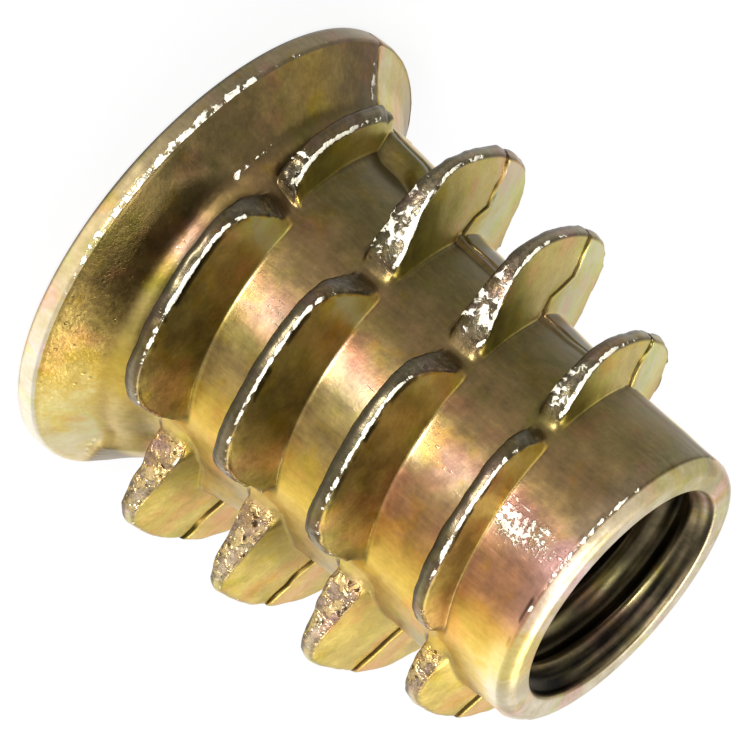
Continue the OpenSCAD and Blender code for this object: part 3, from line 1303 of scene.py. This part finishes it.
@dataclass(frozen=True)
class ChromatedZinc:
    """Zinc casting under a thin yellow chromate film that turns pink and green.

    Both ramps give their two ends first and then the stops between them.
    """

    tones: tuple = (
        (0.0, tint(22, 18, 10)), (1.0, tint(253, 243, 212)), (0.16, tint(52, 43, 24)),
        (0.32, tint(88, 76, 45)), (0.45, tint(118, 99, 63)), (0.55, tint(150, 127, 76)),
        (0.68, tint(192, 165, 100)), (0.8, tint(224, 194, 120)), (0.9, tint(245, 219, 152)),
    )
    greys: tuple = (
        (0.0, tint(24, 20, 14)), (1.0, tint(253, 246, 230)), (0.32, tint(88, 80, 62)),
        (0.55, tint(148, 135, 108)), (0.8, tint(216, 198, 158)),
    )
    pink: tuple = (1.18, 0.8, 1.08, 1.0)
    green: tuple = (0.87, 1.0, 0.66, 1.0)
    yellow: tuple = (1.04, 0.96, 0.46, 1.0)
    # colours of painted highlight beads and flecks
    highlight_white: tuple = tint(255, 249, 226)
    highlight_rose: tuple = tint(244, 202, 190)
    straw: tuple = tint(226, 196, 112)
    dark: tuple = tint(26, 21, 12)

    def material(self) -> bpy.types.Material:
        """Builds the finish.

        The tone, stirred by noise, picks a colour from the film's ramp and one from the
        bare metal's, mixed by a paint that greys the crests, rims and bore and also the band
        of painted highlight up the core. Over that lie pink, green and yellow stains, flecks
        of painted highlight on that band, flaked and holed fin ends, beads of painted
        highlight along edges, and dark veins and pits. Noises from 0.1 to 1.3 mm place them
        and raise the bump.
        dark veins and pits. Noises from 0.1 to 1.3 mm place them and raise the bump.

        Returns:
            The material.
        """
        material = bpy.data.materials.new("chromated_zinc")
        net = Net(material)
        spot = net.node("ShaderNodeTexCoord", None, None, "Object")
        place = net.node("ShaderNodeVectorMath", {"operation": "SCALE"},
                         {"Vector": spot, "Scale": 1.0 / MM})
        tone, blush, leaf, gilt, painted_glint, pitted, bare, highlight_spark = map(net.paint, Paint)
        along = net.node("ShaderNodeVectorMath", {"operation": "MULTIPLY"},
                         {0: place, 1: (1.0, 1.0, 0.12)})
        broad = net.noise(place, 1.3, 2.0)
        other = net.noise(place, 1.0, 2.0, 0.5, 0.6)
        third = net.noise(place, 0.8, 2.0, 0.5, 0.3)
        patch = net.noise(place, 0.55, 3.0, 0.6)
        clump = net.noise(place, 0.26, 2.0, 0.6, 0.4)
        grain = net.noise(place, 0.13, 3.0, 0.65)
        streak = net.noise(along, 0.1, 2.0, 0.6)
        wrinkle = net.noise(place, 0.11, 2.0, 0.55, 0.8)
        vein = 1.0 - (wrinkle - 0.5).math("ABSOLUTE").step(0.0, 0.035)
        pits = net.cells(place, 0.3).step(0.22, 0.1) * clump.step(0.47, 0.55)

        tone = tone + (patch - 0.5) * 0.24 + (grain - 0.5) * (pitted * 0.45 + 0.07)
        tone = tone + (streak - 0.5) * 0.1
        # bare metal colour, also for the band of painted highlight
        colour = net.blend(bare, net.ramp(tone, self.tones), net.ramp(tone, self.greys))
        for paint, noise, low, high, share, hue in (
                (blush, broad, 0.52, 0.66, 0.5, self.pink),
                (leaf, other, 0.54, 0.68, 0.55, self.green),
                (gilt, third, 0.55, 0.68, 0.6, self.yellow)):
            stain = (paint + noise.step(low, high) * share).low(1.0)
            colour = net.blend(stain, colour, hue, "MULTIPLY")
        # flecks of painted highlight, white and rose
        crumb = grain * highlight_spark + streak * (1.0 - highlight_spark)
        highlight_fleck = ((crumb - 0.36) * 2.8 + highlight_spark - 1.0).step(0.0, 0.3) * highlight_spark.step(0.02, 0.3)
        shine = net.blend(other.step(0.45, 0.6), self.highlight_rose, self.highlight_white)
        colour = net.blend(highlight_fleck * 0.6, colour, shine)
        rough_end = pitted.step(0.92, 0.98)
        scab = rough_end * clump.step(0.46, 0.6)
        colour = net.blend(scab * 0.45, colour, self.straw)
        holes = rough_end * net.cells(place, 0.33).step(0.3, 0.16) * clump.step(0.52, 0.44)
        # beads of painted highlight, near white, along edges
        highlight_bead = ((clump - 0.3) * 2.5 + painted_glint - 1.0).step(0.0, 0.25) * painted_glint.step(0.02, 0.3)
        colour = net.blend(highlight_bead * (0.55 + grain * 0.6).low(1.0), colour, self.highlight_white)
        marks = (vein * 0.7).top(pits) * (pitted - 0.2).top(0.0) * (1.0 - highlight_bead)
        marks = marks.top(holes * 0.9)
        colour = net.blend(marks.low(1.0), colour, self.dark)

        height = (grain * 0.5 + wrinkle * 0.7) * (pitted * 0.8 + 0.05) + streak * 0.08
        height = height + highlight_bead * (0.6 + (clump - 0.3) * 2.0) + highlight_fleck * 0.5 + scab * 0.8
        height = height - holes * 1.5 - pits * (pitted * 1.3 - 0.12).top(0.0)
        normal = net.node("ShaderNodeBump", None,
                          {"Height": height, "Strength": 1.0, "Distance": 0.00003})
        rough = 0.34 - highlight_bead * 0.06 + (patch - 0.5) * 0.24 + highlight_spark * 0.1
        net.finish(net.node("ShaderNodeBsdfPrincipled", None, {
            "Base Color": colour, "Metallic": 0.9 - highlight_bead * 0.6, "Roughness": rough,
            "Normal": normal}))
        return material


@dataclass(frozen=True)
class Studio:
    """Floor, lamps, sky and camera."""

    reach: float = 0.9
    middle_z: float = 0.0065

    def floor(self) -> bpy.types.Object:
        """A wide pale floor under the flange.

        Returns:
            The floor's object.
        """
        side = np.linspace(-self.reach, self.reach, 3)
        points = np.stack(np.meshgrid(side, side, [0.0]), axis=-1).reshape(-1, 3)
        index = np.arange(9).reshape(3, 3)
        quads = np.stack([index[:-1, :-1], index[:-1, 1:], index[1:, 1:], index[1:, :-1]], axis=-1)
        mesh = bpy.data.meshes.new("floor")
        mesh.from_pydata(points.tolist(), [], quads.reshape(-1, 4).tolist())
        floor = bpy.data.objects.new("floor", mesh)
        bpy.context.scene.collection.objects.link(floor)
        material = bpy.data.materials.new("floor")
        net = Net(material)
        path = net.add("ShaderNodeLightPath").outputs
        camera, glossy, clear = (Signal(net, path[f"Is {ray} Ray"]) for ray in (
            "Camera", "Glossy", "Transmission"))
        seen = camera.top(glossy).top(clear)
        matt = net.node("ShaderNodeBsdfDiffuse", None, {"Color": (0.9, 0.9, 0.9, 1.0)})
        glow = net.node("ShaderNodeEmission", None, {"Color": (1, 1, 1, 1), "Strength": 1.0})
        net.finish(net.node("ShaderNodeMixShader", None, {0: seen * 0.85, 1: matt, 2: glow}))
        mesh.materials.append(material)
        return floor

    def lamp(self, name: str, azimuth: float, height: float, far: float, size: float,
             power: float) -> None:
        """A square soft lamp that points at the middle of the insert.

        Args:
            name: the lamp's name.
            azimuth: its direction about the axis, in degrees.
            height: its angle above the floor, in degrees.
            far: its distance in metres.
            size: its side in metres.
            power: its power in watts.
        """
        light = bpy.data.lights.new(name, "AREA")
        light.size, light.energy = size, power
        lamp = bpy.data.objects.new(name, light)
        a, e = math.radians(azimuth), math.radians(height)
        way = Vector((math.cos(a) * math.cos(e), math.sin(a) * math.cos(e), math.sin(e)))
        lamp.location = way * far + Vector((0, 0, self.middle_z))
        lamp.rotation_euler = way.to_track_quat("Z", "Y").to_euler()
        bpy.context.scene.collection.objects.link(lamp)

    def sky(self, strength: float) -> None:
        """Pale even surroundings.

        Args:
            strength: how bright they are.
        """
        world = bpy.data.worlds.new("studio")
        world.use_nodes = True
        back = world.node_tree.nodes["Background"]
        back.inputs["Color"].default_value = (1, 1, 1, 1)
        back.inputs["Strength"].default_value = strength
        bpy.context.scene.world = world

    def camera(self) -> None:
        """The camera: a long lens, level 21.4 degrees above the floor, rolled."""
        data = bpy.data.cameras.new("camera")
        data.lens, data.sensor_width, data.clip_start = 262.1, 36.0, 0.001
        camera = bpy.data.objects.new("camera", data)
        eye = Vector((-0.13, -113.79, 49.80)) * MM
        ahead = Vector((0.0, 0.93105, -0.36490))
        right = Vector((-0.65250, 0.27652, 0.70554))
        up = -Vector((0.75779, 0.23810, 0.60751))
        turn = Matrix((right, up, -ahead)).transposed()
        camera.matrix_world = Matrix.Translation(eye) @ turn.to_4x4()
        bpy.context.scene.collection.objects.link(camera)
        bpy.context.scene.camera = camera

    def build(self) -> None:
        """Sets up everything but the insert."""
        self.floor()
        self.sky(0.55)
        self.lamp("key", azimuth=-84.0, height=6.0, far=0.35, size=0.06, power=1.5)
        self.lamp("top", azimuth=60.0, height=60.0, far=0.4, size=0.25, power=0.7)
        self.lamp("over", azimuth=-76.0, height=70.0, far=0.3, size=0.07, power=0.28)
        self.camera()
        bpy.context.scene.view_settings.view_transform = "Standard"


def main() -> None:
    """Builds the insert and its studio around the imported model."""
    logging.basicConfig(level=logging.INFO, format="%(message)s")
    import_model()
    low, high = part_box("insert")
    wall = Wall(rim_r=(high.x - low.x) / 2 / MM, length=(high.z - low.z) / MM)
    insert = Insert(wall)
    piece = insert.build()
    insert.dress(piece, ChromatedZinc())
    Studio().build()


if __name__ == "__main__":
    main()
